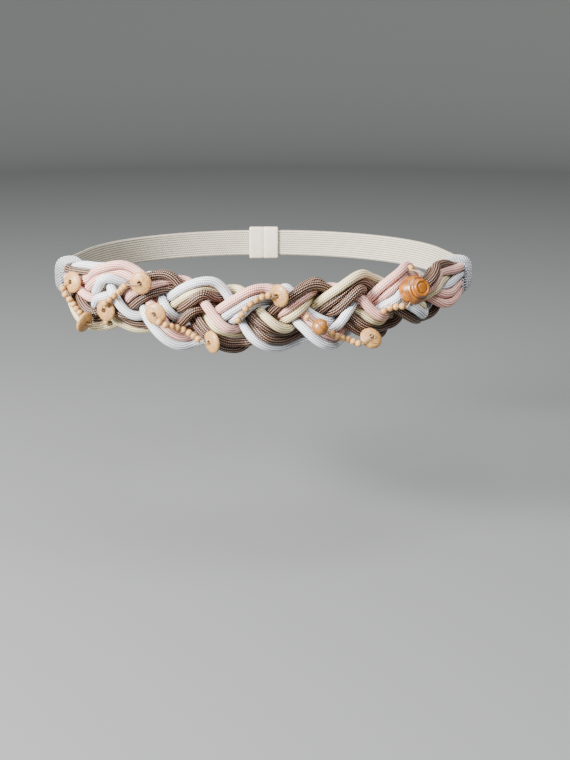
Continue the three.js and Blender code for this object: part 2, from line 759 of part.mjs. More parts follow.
// Puts a big bead where it rests and returns its middle, its hole and half the length of the hole
function placeBigBead(item) {
  const [s, height] = item.at;
  const hole = directionAt(s, item.hole);
  let balls;
  let geometry;
  let finish = finishes.birch;
  let halfHole = saucerThickness / 2;
  if (item.kind === 'saucer') {
    balls = lensBalls(hole, saucerDiameter / 2, saucerThickness / 2);
    geometry = saucerGeometry();
    geometry.applyQuaternion(turnFromY(hole));
  } else if (item.kind === 'ball') {
    balls = [{ offset: new THREE.Vector3(), radius: ballDiameter / 2 }];
    geometry = ballGeometry();
    geometry.applyQuaternion(turnFromY(hole));
    finish = finishes.amber;
    halfHole = ballDiameter / 2;
  } else {
    const axis = directionAt(s, turnedFace);
    const waist = turnedDiameter / 2;
    const slide = turnedLength / 2 - waist;
    balls = [
      { offset: axis.clone().multiplyScalar(-slide), radius: waist },
      { offset: axis.clone().multiplyScalar(slide), radius: waist },
    ];
    geometry = turnedGeometry(axis, hole);
    finish = finishes.turned;
    halfHole = waist;
  }
  const middle = pointAt(s, restOut(s, height, balls), height);
  const mesh = addPiece(item.name, geometry, finish);
  mesh.position.copy(middle);
  for (const ball of balls) {
    const at = middle.clone().add(ball.offset);
    bars.push({ a: at, b: at, radius: ball.radius });
  }
  return { middle, hole, halfHole };
}

// Places a run of small beads on its route, each a pitch from the last. The thread is taut over low
// places between the cords, so each place takes the highest rest a few samples round it, evened out.
const routeSamples = 40;
const bridgedSamples = 6;
const placingHalvings = 20;

function placeRun(item) {
  const chosen = item.route.map(([s, height]) => new THREE.Vector3(s, height, 0));
  const curve = new THREE.CatmullRomCurve3(chosen);
  const balls = [{ offset: new THREE.Vector3(), radius: smallDiameter / 2 }];
  const spots = curve.getPoints(routeSamples).map((p) => (
    { s: p.x, height: p.y, out: restOut(p.x, p.y, balls) }
  ));
  const around = (list, i) => list.slice(Math.max(i - bridgedSamples, 0), i + bridgedSamples + 1);
  const highest = spots.map((spot, i) => Math.max(...around(spots, i).map(({ out }) => out)));
  const line = spots.map(({ s, height }, i) => {
    const near = around(highest, i);
    return pointAt(s, near.reduce((sum, out) => sum + out, 0) / near.length, height);
  });
  const centres = [line[0]];
  for (let i = 1; i < line.length && centres.length < item.count; i += 1) {
    while (centres.length < item.count && line[i].distanceTo(centres.at(-1)) >= smallPitch) {
      let low = 0;
      let high = 1;
      for (let k = 0; k < placingHalvings; k += 1) {
        const middle = (low + high) / 2;
        const tried = line[i - 1].clone().lerp(line[i], middle);
        const isNear = tried.distanceTo(centres.at(-1)) < smallPitch;
        [low, high] = isNear ? [middle, high] : [low, middle];
      }
      centres.push(line[i - 1].clone().lerp(line[i], high));
    }
  }
  const run = [
    new THREE.Vector3().subVectors(line[bridgedSamples + 1], line[0]).normalize(),
    new THREE.Vector3().subVectors(line.at(-1), line.at(-bridgedSamples - 2)).normalize(),
  ];
  return { centres, run };
}

// A string is one round skin: thin where it is thread, and swelling to each small bead. The thread shows
// at a share of the pitch from a bead's middle, and the bead is widest at a share of its radius from it.
const neckShare = 0.48;
const bellyShare = 0.35;

function beadString(string) {
  const bigBeads = new Map();
  for (const item of string.items) {
    if (item.kind !== 'run') {
      bigBeads.set(item, placeBigBead(item));
    }
  }
  const threadRadius = threadDiameter / 2;
  const beadRadius = smallDiameter / 2;
  const path = [];
  string.items.forEach((item, i) => {
    if (item.kind !== 'run') {
      const { middle, hole, halfHole } = bigBeads.get(item);
      const lead = halfHole + (item.strung || i > 0 ? threadRise : 0);
      const tail = halfHole + (item.strung || i < string.items.length - 1 ? threadRise : 0);
      path.push({ point: middle.clone().addScaledVector(hole, -lead), radius: threadRadius });
      path.push({ point: middle.clone().addScaledVector(hole, tail), radius: threadRadius });
      return;
    }
    const { centres, run } = placeRun(item);
    centres.forEach((centre, k) => {
      const before = centres[k - 1] ?? centre.clone().addScaledVector(run[0], -smallPitch);
      const after = centres[k + 1] ?? centre.clone().addScaledVector(run[1], smallPitch);
      const way = new THREE.Vector3().subVectors(after, before).normalize();
      const ring = (along, radius) => {
        path.push({ point: centre.clone().addScaledVector(way, along), radius });
      };
      ring(-neckShare * smallPitch, threadRadius);
      ring(-bellyShare * beadRadius, beadRadius);
      ring(bellyShare * beadRadius, beadRadius);
      if (k === centres.length - 1) {
        ring(neckShare * smallPitch, threadRadius);
      }
    });
  });
  const outwards = path.map(({ point }) => outwardNear(point));
  return tube(path.map(({ point }) => point), outwards, path.map(({ radius }) => radius), beadSides);
}

for (const string of beadStrings) {
  addPiece(string.name, beadString(string), finishes.birch);
}

export default model;
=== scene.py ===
# Rope belt: twelve satin cords plaited in three strands, with strings of wooden beads laid in.
import math

import bmesh
import bpy
import numpy as np
from mathutils import Matrix, Quaternion, Vector
from mathutils.kdtree import KDTree


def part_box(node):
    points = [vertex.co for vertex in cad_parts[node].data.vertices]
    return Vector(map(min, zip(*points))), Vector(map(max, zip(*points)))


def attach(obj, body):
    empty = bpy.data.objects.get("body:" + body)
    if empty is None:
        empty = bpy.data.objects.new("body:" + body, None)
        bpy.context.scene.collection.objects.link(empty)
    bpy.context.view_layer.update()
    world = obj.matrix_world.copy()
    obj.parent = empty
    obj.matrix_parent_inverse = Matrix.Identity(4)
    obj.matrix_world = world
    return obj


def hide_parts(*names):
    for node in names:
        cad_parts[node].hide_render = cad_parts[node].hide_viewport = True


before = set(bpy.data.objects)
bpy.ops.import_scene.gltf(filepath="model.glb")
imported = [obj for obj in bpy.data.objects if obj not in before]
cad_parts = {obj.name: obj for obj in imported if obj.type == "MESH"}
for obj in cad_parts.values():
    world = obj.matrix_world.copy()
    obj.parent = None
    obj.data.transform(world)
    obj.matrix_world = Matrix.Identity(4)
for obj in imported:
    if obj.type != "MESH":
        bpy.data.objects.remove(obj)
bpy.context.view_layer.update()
MM = 0.001

# The photograph's view: from a metre away and a little above the belt, which lies high in the picture.
# The eye looks down a little and past the belt's middle, so that the front shows from above.
eye_distance = 1.0
eye_elevation = math.radians(12)
eye_tilt = math.radians(73.014)
eye_turn = math.radians(-0.992)
eye_lens = 58.5
camera_data = bpy.data.cameras.new("eye")
camera_data.lens = eye_lens
camera = bpy.data.objects.new("eye", camera_data)
camera.location = (0, -eye_distance * math.cos(eye_elevation), eye_distance * math.sin(eye_elevation))
camera.rotation_euler = (eye_tilt, 0, eye_turn)
bpy.context.scene.collection.objects.link(camera)
bpy.context.scene.camera = camera

# Soft daylight from the left, weaker light from above, and a grey floor well below the belt that curves up
# into a round background.


def window(name, place, target, width, height, power, tint):
    light_data = bpy.data.lights.new(name, "AREA")
    light_data.shape = "RECTANGLE"
    light_data.size = width
    light_data.size_y = height
    light_data.energy = power
    light_data.color = tint
    light = bpy.data.objects.new(name, light_data)
    light.location = place
    light.rotation_mode = "QUATERNION"
    light.rotation_quaternion = (Vector(target) - Vector(place)).to_track_quat("-Z", "Y")
    bpy.context.scene.collection.objects.link(light)


window(
    "window_left", place=(-1.25, -1.0, 0.75), target=(-0.03, -0.1, 0),
    width=0.55, height=0.7, power=170, tint=(1.0, 0.985, 0.955),
)
window(
    "window_high", place=(0.25, -0.7, 1.5), target=(0, 0, 0),
    width=1.2, height=0.8, power=42, tint=(0.96, 0.975, 1.0),
)
room_tint = (0.86, 0.88, 0.90, 1)
room_strength = 0.50
world = bpy.data.worlds.new("room")
world.use_nodes = True
world.node_tree.nodes["Background"].inputs["Color"].default_value = room_tint
world.node_tree.nodes["Background"].inputs["Strength"].default_value = room_strength
bpy.context.scene.world = world

floor_drop = 0.22
floor_middle = 0.001
floor_curve = 0.6
room_radius = 3.0
room_height = 1.8
room_sides = 96
curve_steps = 17
floor_tint = (0.155, 0.163, 0.160, 1)
floor_roughness = 0.9
bend = np.linspace(0, math.pi / 2, curve_steps)
room_profile = [(floor_middle, -floor_drop)]
room_profile += list(zip(
    room_radius - floor_curve + floor_curve * np.sin(bend),
    floor_curve - floor_drop - floor_curve * np.cos(bend),
))
room_profile += [(room_radius, room_height)]
room_turns = np.arange(room_sides) / room_sides * 2 * math.pi
room_mesh = bpy.data.meshes.new("room_floor")
room_mesh.from_pydata(
    [(reach * math.cos(t), reach * math.sin(t), z) for reach, z in room_profile for t in room_turns],
    [],
    [
        (k * room_sides + j, (k + 1) * room_sides + j,
         (k + 1) * room_sides + (j + 1) % room_sides, k * room_sides + (j + 1) % room_sides)
        for k in range(len(room_profile) - 1) for j in range(room_sides)
    ] + [tuple(range(room_sides))],
)
room_mesh.polygons.foreach_set("use_smooth", [True] * len(room_mesh.polygons))
room_floor = bpy.data.objects.new("room_floor", room_mesh)
bpy.context.scene.collection.objects.link(room_floor)
floor_finish = bpy.data.materials.new("floor_grey")
floor_finish.use_nodes = True
floor_shader = floor_finish.node_tree.nodes["Principled BSDF"]
floor_shader.inputs["Base Color"].default_value = floor_tint
floor_shader.inputs["Roughness"].default_value = floor_roughness
room_mesh.materials.append(floor_finish)

# The satin cords: soft braided tubes up to 7 mm thick, with twelve lengthwise ribs of short stitches.
# Twelve of them run from one bound end to the other, four to a strand, and press flat where they meet.
cord_radius = 3.5 * MM
cord_gap = 0.03 * MM
rib_count = 12
points_per_rib = 3
rib_depth = 0.28 * MM
stitch_length = 1.35 * MM
stitch_depth = 0.12 * MM
cord_twist = 2.2
kink_reach = 5
press_softness = 9
finer_steps = 24

# Each colour's threads: painted shade in the gaps between stitches, the thread's colour over the stitch, and
# a painted highlight where it catches the light
cord_colours = {
    "pink": {"painted_gap_shade": (0.20, 0.05, 0.035), "thread": (0.80, 0.40, 0.33), "painted_highlight": (1.0, 0.77, 0.71)},
    "white": {"painted_gap_shade": (0.10, 0.11, 0.14), "thread": (0.72, 0.74, 0.81), "painted_highlight": (1.0, 1.0, 1.0)},
    "brown": {"painted_gap_shade": (0.001, 0.0004, 0.0002), "thread": (0.012, 0.0038, 0.0021), "painted_highlight": (0.74, 0.44, 0.30)},
    "cream": {"painted_gap_shade": (0.14, 0.09, 0.025), "thread": (0.76, 0.62, 0.33), "painted_highlight": (1.0, 0.92, 0.69)},
}

# How high on a stitch's pad its painted gap shade ends, its thread starts, and its painted highlight starts
# and is full
painted_shade_until = 0.20
thread_from = 0.46
pale_painted_highlight_from = 0.64
dark_painted_highlight_from = 0.76
painted_highlight_full = 0.96

# A stitch's slant and fall to its edges, and the single threads that show in it
stitch_slant = 0.45
stitch_taper = 0.8
stitch_fall = 3.4
stitch_relief = 0.22 * MM
thread_lines = 4
thread_slant = 0.3
thread_relief = 0.08
mottle_scale = 90
mottle_amount = 0.12


def welded_corners(node):
    """The corners of a solid, each once, and the one that each corner of its mesh became."""
    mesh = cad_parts[node].data
    corners = np.empty(len(mesh.vertices) * 3)
    mesh.vertices.foreach_get("co", corners)
    welded, index = np.unique(np.round(corners.reshape(-1, 3), 6), axis=0, return_inverse=True)
    return welded, index.reshape(-1)


def rings_of(node):
    """The rings of corners of a tube-shaped solid, from its left end to its right."""
    welded, index = welded_corners(node)
    neighbours = [set() for _ in welded]
    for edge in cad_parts[node].data.edges:
        a, b = index[edge.vertices[0]], index[edge.vertices[1]]
        if a != b:
            neighbours[a].add(b)
            neighbours[b].add(a)
    ends = [i for i, near in enumerate(neighbours) if len(near) != 6]
    ring = {min(ends, key=lambda i: math.atan2(welded[i][0], -welded[i][1]))}
    reached = set()
    while len(reached) != len(ring):
        reached = set(ring)
        ring |= {j for i in reached for j in neighbours[i] if j in ends}
    rings = []
    seen = set(ring)
    while ring:
        rings.append(welded[sorted(ring)])
        ring = {j for i in ring for j in neighbours[i]} - seen
        seen |= ring
    return rings


def middles_of(node):
    """The middle of each ring of a tube-shaped solid."""
    return np.array([ring.mean(axis=0) for ring in rings_of(node)])


def even_line(points, step):
    """A smooth line through points, resampled at an even step."""
    points = np.asarray(points)
    padded = np.vstack([2 * points[0] - points[1], points, 2 * points[-1] - points[-2]])
    share = np.linspace(0, 1, finer_steps, endpoint=False)[:, None]
    fine = []
    for p0, p1, p2, p3 in zip(padded, padded[1:], padded[2:], padded[3:]):
        fine.append(0.5 * (
            2 * p1 + (p2 - p0) * share + (2 * p0 - 5 * p1 + 4 * p2 - p3) * share ** 2
            + (3 * p1 - p0 - 3 * p2 + p3) * share ** 3
        ))
    fine = np.vstack([*fine, points[-1:]])
    length = np.concatenate([[0], np.cumsum(np.linalg.norm(np.diff(fine, axis=0), axis=1))])
    places = np.linspace(0, length[-1], max(int(round(length[-1] / step)), 2) + 1)
    return np.stack([np.interp(places, length, fine[:, axis]) for axis in range(3)], axis=1)


def unit(vectors):
    return vectors / np.linalg.norm(vectors, axis=-1, keepdims=True)


def across_line(line):
    """Two directions across a line at each of its points, the first away from the belt's middle."""
    run = unit(np.gradient(line, axis=0))
    away = line * (1, 1, 0)
    side = unit(np.cross(run, away))
    return np.cross(side, run), side


def ways_round(first, second, sides):
    """Directions all round a line, from two directions across it at each of its points."""
    turn = np.arange(sides) / sides * 2 * math.pi
    return first[:, None] * np.cos(turn)[None, :, None] + second[:, None] * np.sin(turn)[None, :, None]


def softened(line, reach):
    """A line with its kinks evened out over a reach of points, and its ends kept."""
    offsets = np.arange(-3 * reach, 3 * reach + 1)
    weights = np.exp(-0.5 * (offsets / reach) ** 2)
    padded = np.vstack([
        2 * line[0] - line[3 * reach:0:-1], line, 2 * line[-1] - line[-2:-3 * reach - 2:-1],
    ])
    weights /= weights.sum()
    return np.stack([np.convolve(padded[:, axis], weights, "valid") for axis in range(3)], axis=1)


def net(rings, looped=False, ribs=1.0, lengths=None):
    """Corners, faces and chart of a closed skin over rings, which is looped or capped at its ends. The chart
    has the ribs round it and the lengths along it."""
    count, around = rings.shape[:2]
    k, j = np.meshgrid(np.arange(count if looped else count - 1), np.arange(around), indexing="ij")
    after = (j + 1) % around
    ahead = (k + 1) % count
    corners = [k * around + j, k * around + after, ahead * around + after, ahead * around + j]
    faces = np.stack(corners, axis=-1).reshape(-1, 4).tolist()
    lengths = np.arange(count + 1, dtype=float) if lengths is None else lengths
    u = np.stack([j, j + 1, j + 1, j], axis=-1) * ribs / around
    v = np.stack([lengths[k], lengths[k], lengths[k + 1], lengths[k + 1]], axis=-1)
    chart = np.stack([u, v], axis=-1).reshape(-1, 2)
    if not looped:
        faces.append(list(range(around))[::-1])
        faces.append(list(range((count - 1) * around, count * around)))
        chart = np.vstack([chart, np.zeros((2 * around, 2))])
    return rings.reshape(-1, 3), faces, chart


def mesh_of(name, nets, numbers=None):
    """One smooth mesh of several nets, each with the number of its material."""
    points, faces, charts, marks = [], [], [], []
    start = 0
    for i, (corners, net_faces, chart) in enumerate(nets):
        points.append(corners)
        faces += [[start + corner for corner in face] for face in net_faces]
        charts.append(chart)
        marks += [numbers[i] if numbers else 0] * len(net_faces)
        start += len(corners)
    mesh = bpy.data.meshes.new(name)
    mesh.from_pydata(np.vstack(points).tolist(), [], faces)
    layer = mesh.uv_layers.new(name="map")
    layer.data.foreach_set("uv", np.vstack(charts).astype(np.float32).ravel())
    mesh.polygons.foreach_set("material_index", marks)
    mesh.polygons.foreach_set("use_smooth", [True] * len(mesh.polygons))
    outward = bmesh.new()
    outward.from_mesh(mesh)
    bmesh.ops.recalc_face_normals(outward, faces=outward.faces)
    outward.to_mesh(mesh)
    outward.free()
    return mesh


def place(name, mesh, materials, node, slot, matrix=Matrix()):
    """Puts a piece on the belt in the stead of a solid."""
    for material in materials:
        mesh.materials.append(material)
    piece = bpy.data.objects.new(name, mesh)
    piece.matrix_world = matrix
    bpy.context.scene.collection.objects.link(piece)
    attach(piece, "root")
    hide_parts(node)
    return piece


def calc(tree, operation, *values):
    """A sum of numbers and sockets in a material."""
    node = tree.nodes.new("ShaderNodeMath")
    node.operation = operation
    for socket, value in zip(node.inputs, values):
        if isinstance(value, bpy.types.NodeSocket):
            tree.links.new(value, socket)
        else:
            socket.default_value = value
    return node.outputs[0]


def ramp(tree, value, stops):
    """Colours for a value, from stops that each give a place and a colour."""
    node = tree.nodes.new("ShaderNodeValToRGB")
    tree.links.new(value, node.inputs["Fac"])
    elements = node.color_ramp.elements
    while len(elements) < len(stops):
        elements.new(0.5)
    for element, (position, colour) in zip(elements, stops):
        element.position = position
        element.color = (*colour, 1)
    return node.outputs["Color"]


def noise(tree, vector, scale, detail=2.0):
    node = tree.nodes.new("ShaderNodeTexNoise")
    tree.links.new(vector, node.inputs["Vector"])
    node.inputs["Scale"].default_value = scale
    node.inputs["Detail"].default_value = detail
    return node.outputs["Fac"]


def toned(tree, colour, value, amount):
    """A colour made lighter and darker by a value about one half."""
    node = tree.nodes.new("ShaderNodeHueSaturation")
    tree.links.new(colour, node.inputs["Color"])
    tone = calc(tree, "ADD", calc(tree, "MULTIPLY", value, 2 * amount), 1 - amount)
    tree.links.new(tone, node.inputs["Value"])
    return node.outputs["Color"]


def finish_with(name, roughness, sheen=0.0, coat=0.0, specular=0.5):
    """A new material and its shader, with what is the same all over it."""
    material = bpy.data.materials.new(name)
    material.use_nodes = True
    shader = material.node_tree.nodes["Principled BSDF"]
    shader.inputs["Roughness"].default_value = roughness
    shader.inputs["Specular IOR Level"].default_value = specular
    shader.inputs["Sheen Weight"].default_value = sheen
    shader.inputs["Sheen Roughness"].default_value = 0.35
    shader.inputs["Coat Weight"].default_value = coat
    shader.inputs["Coat Roughness"].default_value = 0.12
    return material, material.node_tree, shader


def raised(tree, shader, height, depth, strength=1.0):
    """Relief from a height, of a depth in metres."""
    node = tree.nodes.new("ShaderNodeBump")
    node.inputs["Strength"].default_value = strength
    node.inputs["Distance"].default_value = depth
    tree.links.new(height, node.inputs["Height"])
    tree.links.new(node.outputs["Normal"], shader.inputs["Normal"])


def satin(name, colours, roughness=0.38, painted_highlight_from=pale_painted_highlight_from):
    """Rows of short slanting stitches, each a smooth pad of thread with a painted highlight in its middle and
    painted shade at its edges, in the gaps between stitches.
    """
    material, tree, shader = finish_with(name, roughness, sheen=0.04, specular=0.32)
    chart = tree.nodes.new("ShaderNodeUVMap")
    chart.uv_map = "map"
    split = tree.nodes.new("ShaderNodeSeparateXYZ")
    tree.links.new(chart.outputs["UV"], split.inputs["Vector"])
    rib = split.outputs["X"]
    across = calc(tree, "SUBTRACT", calc(tree, "FRACT", rib), 0.5)
    stagger = calc(tree, "MULTIPLY", calc(tree, "MODULO", calc(tree, "FLOOR", rib), 2.0), 0.5)
    staggered = calc(tree, "ADD", split.outputs["Y"], stagger)
    slanted = calc(tree, "ADD", staggered, calc(tree, "MULTIPLY", across, stitch_slant))
    along = calc(tree, "SUBTRACT", calc(tree, "FRACT", slanted), 0.5)
    across_spread = calc(tree, "POWER", calc(tree, "ABSOLUTE", across), 2.0)
    along_spread = calc(tree, "POWER", calc(tree, "ABSOLUTE", along), 2.0)
    spread = calc(tree, "ADD", across_spread, calc(tree, "MULTIPLY", along_spread, stitch_taper))
    fall = calc(tree, "MULTIPLY", spread, stitch_fall)
    pad = calc(tree, "MAXIMUM", calc(tree, "SUBTRACT", 1.0, fall), 0.0)
    # Painted shade in the gaps at the pad's edges, the thread's own colour over the pad, and a painted
    # highlight at its middle.
    colour = ramp(tree, pad, [
        (painted_shade_until, colours["painted_gap_shade"]), (thread_from, colours["thread"]),
        (painted_highlight_from, colours["thread"]), (painted_highlight_full, colours["painted_highlight"]),
    ])
    where = tree.nodes.new("ShaderNodeTexCoord").outputs["Object"]
    mottled = toned(tree, colour, noise(tree, where, mottle_scale), mottle_amount)
    tree.links.new(mottled, shader.inputs["Base Color"])
    leaning = calc(tree, "ADD", across, calc(tree, "MULTIPLY", along, thread_slant))
    threads = calc(tree, "SINE", calc(tree, "MULTIPLY", leaning, 2 * math.pi * thread_lines))
    height = calc(tree, "ADD", pad, calc(tree, "MULTIPLY", threads, thread_relief))
    raised(tree, shader, height, stitch_relief)
    return material


rng = np.random.default_rng(12)
cord_names = sorted(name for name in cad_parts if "_cord_" in name)
cord_step = stitch_length / 2
cord_lines = {}
for name in cord_names:
    cord_lines[name] = softened(even_line(middles_of(name), cord_step), kink_reach)
satins = {}
# Brown's painted highlight starts higher on each stitch, so it covers less of it.
for colour, threads in cord_colours.items():
    painted_highlight_from = dark_painted_highlight_from if colour == "brown" else pale_painted_highlight_from
    satins[colour] = satin("satin_" + colour, threads, painted_highlight_from=painted_highlight_from)

crowd = KDTree(sum(len(line[::2]) for line in cord_lines.values()))
owners = []
for name, line in cord_lines.items():
    for point in line[::2]:
        crowd.insert(point, len(owners))
        owners.append(name)
crowd.balance()

for name in cord_names:
    line = cord_lines[name]
    face, side = across_line(line)
    around = rib_count * points_per_rib
    twist = rng.uniform(0, 2 * math.pi)
    turn = np.arange(around) / around * 2 * math.pi
    length = np.arange(len(line)) * cord_step
    angle = turn[None, :] + twist + cord_twist * length[:, None]
    ways = face[:, None] * np.cos(angle)[..., None] + side[:, None] * np.sin(angle)[..., None]
    radii = np.full(angle.shape, cord_radius)
    for k, point in enumerate(line):
        near = [found[0] for found in crowd.find_range(point, 2 * cord_radius) if owners[found[1]] != name]
        if near:
            apart = np.array([tuple(other) for other in near]) - point
            facing = np.maximum(ways[k] @ apart.T, 1e-9)
            limit = ((apart ** 2).sum(axis=1)[None, :] / (2 * facing)).min(axis=1) - cord_gap
            radii[k] = (cord_radius ** -press_softness + limit ** -press_softness) ** (-1 / press_softness)
    valley = np.arange(around) % points_per_rib == 0
    odd_rib = (np.arange(around) // points_per_rib) % 2 == 1
    dip = (np.arange(len(line))[:, None] + odd_rib[None, :]) % 2 == 0
    radii = radii - rib_depth * valley[None, :] - stitch_depth * dip * ~valley[None, :]
    rings = line[:, None] + ways * radii[..., None]
    mesh = mesh_of(name + "_braid", [net(rings, ribs=rib_count, lengths=length / stitch_length)])
    colour = name.split("_")[0]
    place(name + "_braid", mesh, [satins[colour]], name, "cord_" + colour)

# The saucer beads: lens-shaped beads of light wood, turned, drilled through their middle and lightly waxed.
# The grain runs across each disc, with fine dark pores, and the rim and the mouth of the hole are rounded.
saucer_radius = 8.2 * MM
saucer_half = 3.0 * MM
saucer_bore = 1.75 * MM
saucer_spin = 0.9
saucer_sides = 72
saucer_steps = 34
mouth_round = 0.4 * MM
birch_pale = (0.50, 0.27, 0.088)
birch_dark = (0.12, 0.046, 0.012)
birch_line_gap = 1.1 * MM
birch_roughness = 0.5
birch_coat = 0.12

# How the grain wanders, how its pores lie, how dark and deep the lines are, and how wide the painted shade in
# the turned cuts is
grain_distortion = 2.6
grain_detail = 2.0
grain_detail_scale = 0.6
pore_stretch = 0.12
pore_scale = 2600
pore_tint = (0.1, 0.1, 0.1)
pore_from = 0.36
pore_until = 0.50
grain_share = 0.55
cut_shade_half_width = 0.35 * MM
pale_at = 0.75
palest = 1.12
patch_scale = 160
patch_amount = 0.22
grain_depth = 0.05 * MM
grain_strength = 0.7


def wood(name, pale, dark, line_gap, roughness, coat, rings_about=None, cuts=()):
    """Wood with grain lines along its own X, or rings about an axis, and short dark pores along X. Painted
    shade darkens it in the cuts, which are heights along Z."""
    material, tree, shader = finish_with(name, roughness, coat=coat)
    where = tree.nodes.new("ShaderNodeTexCoord").outputs["Object"]
    grain = tree.nodes.new("ShaderNodeTexWave")
    grain.wave_type = "RINGS" if rings_about else "BANDS"
    grain.bands_direction = "Y"
    grain.rings_direction = rings_about or "X"
    # At a scale of one, this pattern repeats every pi tenths of a metre
    grain.inputs["Scale"].default_value = 2 * math.pi / (20 * line_gap)
    grain.inputs["Distortion"].default_value = grain_distortion
    grain.inputs["Detail"].default_value = grain_detail
    grain.inputs["Detail Scale"].default_value = grain_detail_scale
    tree.links.new(where, grain.inputs["Vector"])
    stretched = tree.nodes.new("ShaderNodeMapping")
    stretched.inputs["Scale"].default_value = (pore_stretch, 1.0, 1.0)
    tree.links.new(where, stretched.inputs["Vector"])
    pores = noise(tree, stretched.outputs["Vector"], pore_scale)
    fleck = ramp(tree, pores, [(pore_from, pore_tint), (pore_until, (1, 1, 1))])
    lines = calc(tree, "ADD", calc(tree, "MULTIPLY", grain.outputs["Fac"], grain_share), 1 - grain_share)
    mixed = calc(tree, "MULTIPLY", lines, fleck)
    split = tree.nodes.new("ShaderNodeSeparateXYZ")
    tree.links.new(where, split.inputs["Vector"])
    # Painted shade: each turned cut darkens the colour in a narrow band about its height.
    for height in cuts:
        away = calc(tree, "ABSOLUTE", calc(tree, "SUBTRACT", split.outputs["Z"], height))
        shade = calc(tree, "MINIMUM", calc(tree, "DIVIDE", away, cut_shade_half_width), 1.0)
        mixed = calc(tree, "MULTIPLY", mixed, shade)
    lightest = tuple(min(palest * share, 1) for share in pale)
    colour = ramp(tree, mixed, [(0.0, dark), (pale_at, pale), (1.0, lightest)])
    patches = noise(tree, where, patch_scale, detail=1.0)
    tree.links.new(toned(tree, colour, patches, patch_amount), shader.inputs["Base Color"])
    raised(tree, shader, mixed, grain_depth, grain_strength)
    return material


def turned_net(profile, around, looped=True):
    """A net over a profile of radii and heights, turned about Z."""
    profile = np.asarray(profile)
    turn = np.arange(around) / around * 2 * math.pi
    heights = np.repeat(profile[:, 1:], around, axis=1)
    rings = np.stack([profile[:, :1] * np.cos(turn), profile[:, :1] * np.sin(turn), heights], axis=-1)
    return net(rings, looped=looped)


def drilled_profile(radius, half, bore, rounding, steps):
    """The profile of an oval bead that is drilled through along Z, with rounded mouths."""
    mouth = math.acos((bore + rounding) / radius)
    bow = np.linspace(-mouth, mouth, steps)
    outside = [(radius * math.cos(t), half * math.sin(t)) for t in bow]
    lip = half * math.sin(mouth)
    soft = []
    for t in (0.5, 1.0, math.pi / 2):
        soft.append((bore + rounding * (1 - math.sin(t)), lip - rounding * (1 - math.cos(t))))
    under = [(x, -z) for x, z in soft[::-1]]
    return outside + soft + [(bore, 0.0)] + under


def stand(axis, middle, spin=0.0):
    """The place of a bead whose Z looks along an axis."""
    turn = Vector(axis).to_track_quat("Z", "Y") @ Quaternion((0, 0, 1), spin)
    return Matrix.Translation(Vector(middle)) @ turn.to_matrix().to_4x4()


birch = wood("birch_waxed", birch_pale, birch_dark, birch_line_gap, birch_roughness, birch_coat)
saucer_names = sorted(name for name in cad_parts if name.startswith("saucer_bead_"))
for i, name in enumerate(saucer_names):
    corners = welded_corners(name)[0]
    middle = corners.mean(axis=0)
    axis = np.linalg.eigh(np.cov((corners - middle).T))[1][:, 0]
    profile = drilled_profile(saucer_radius, saucer_half, saucer_bore, mouth_round, saucer_steps)
    mesh = mesh_of(name + "_wood", [turned_net(profile, saucer_sides)])
    place(name + "_wood", mesh, [birch], name, "birch_bead", stand(axis, middle, saucer_spin * i))

# The ball bead: a 12 mm ball of stained wood with clear growth rings, drilled through. It sits on the fifth
# string between the first small bead and the others.
ball_radius = 6.1 * MM
ball_bore = 1.3 * MM
ball_spin = 1.2
ball_sides = 64
ball_steps = 40
amber = wood(
    "amber_stained", pale=(0.34, 0.132, 0.018), dark=(0.08, 0.022, 0.003), line_gap=1.35 * MM,
    roughness=0.38, coat=0.35, rings_about="X",
)
ball_corners = welded_corners("ball_bead")[0]
ball_middle = (ball_corners.min(axis=0) + ball_corners.max(axis=0)) / 2
by_nearness = sorted(middles_of("bead_string_5"), key=lambda point: np.linalg.norm(point - ball_middle))
ball_profile = drilled_profile(ball_radius, ball_radius, ball_bore, mouth_round, ball_steps)
ball_mesh = mesh_of("ball_bead_wood", [turned_net(ball_profile, ball_sides)])
ball_stand = stand(by_nearness[0] - by_nearness[1], ball_middle, ball_spin)
place("ball_bead_wood", ball_mesh, [amber], "ball_bead", "amber_bead", ball_stand)

# The turned bead: the biggest bead, of glossy orange-brown wood. It is a bowl shape with three fine turned
# grooves and a stepped flat end with a ring cut in it, and its hole is drilled across the turning.
turned_radius = 10.5 * MM
turned_length = 21 * MM
turned_bore = 1.5 * MM
turned_spin = 0.4
turned_sides = 96
bore_sides = 32
bowl_step = 0.22 * MM
groove_depth = 0.4 * MM
groove_width = 0.22 * MM
groove_places = (0.10, 0.165, 0.23)
cut_places = (0.315, 0.466)
loop_half_width = 155.5
loop_half_depth = 116
face_shares = (0.06, 0.93, 0.36)
hole_shares = (0.59, -0.32, 0.74)
# Shares of the radius and of the length, from the round end to the step, and from there over the flat end
bowl_shares = (
    (0.02, -0.5), (0.26, -0.492), (0.5, -0.462), (0.7, -0.40), (0.86, -0.30), (0.96, -0.18),
    (1, -0.06), (0.99, 0.05), (0.94, 0.16), (0.86, 0.245), (0.80, 0.29),
)
cap_shares = (
    (0.74, 0.312), (0.68, 0.325), (0.645, 0.345), (0.635, 0.38), (0.63, 0.44), (0.61, 0.475),
    (0.57, 0.495), (0.52, 0.50), (0.44, 0.50), (0.41, 0.492), (0.385, 0.472), (0.37, 0.465),
    (0.355, 0.472), (0.33, 0.492), (0.30, 0.496), (0.02, 0.496),
)


def belt_way(middle, shares):
    """A direction from its shares along, out and up the belt at a place."""
    t = math.atan2(middle[0] / loop_half_width, -middle[1] / loop_half_depth)
    along = Vector((loop_half_width * math.cos(t), loop_half_depth * math.sin(t), 0)).normalized()
    out = Vector((along.y, -along.x, 0))
    return (along * shares[0] + out * shares[1] + Vector((0, 0, shares[2]))).normalized()


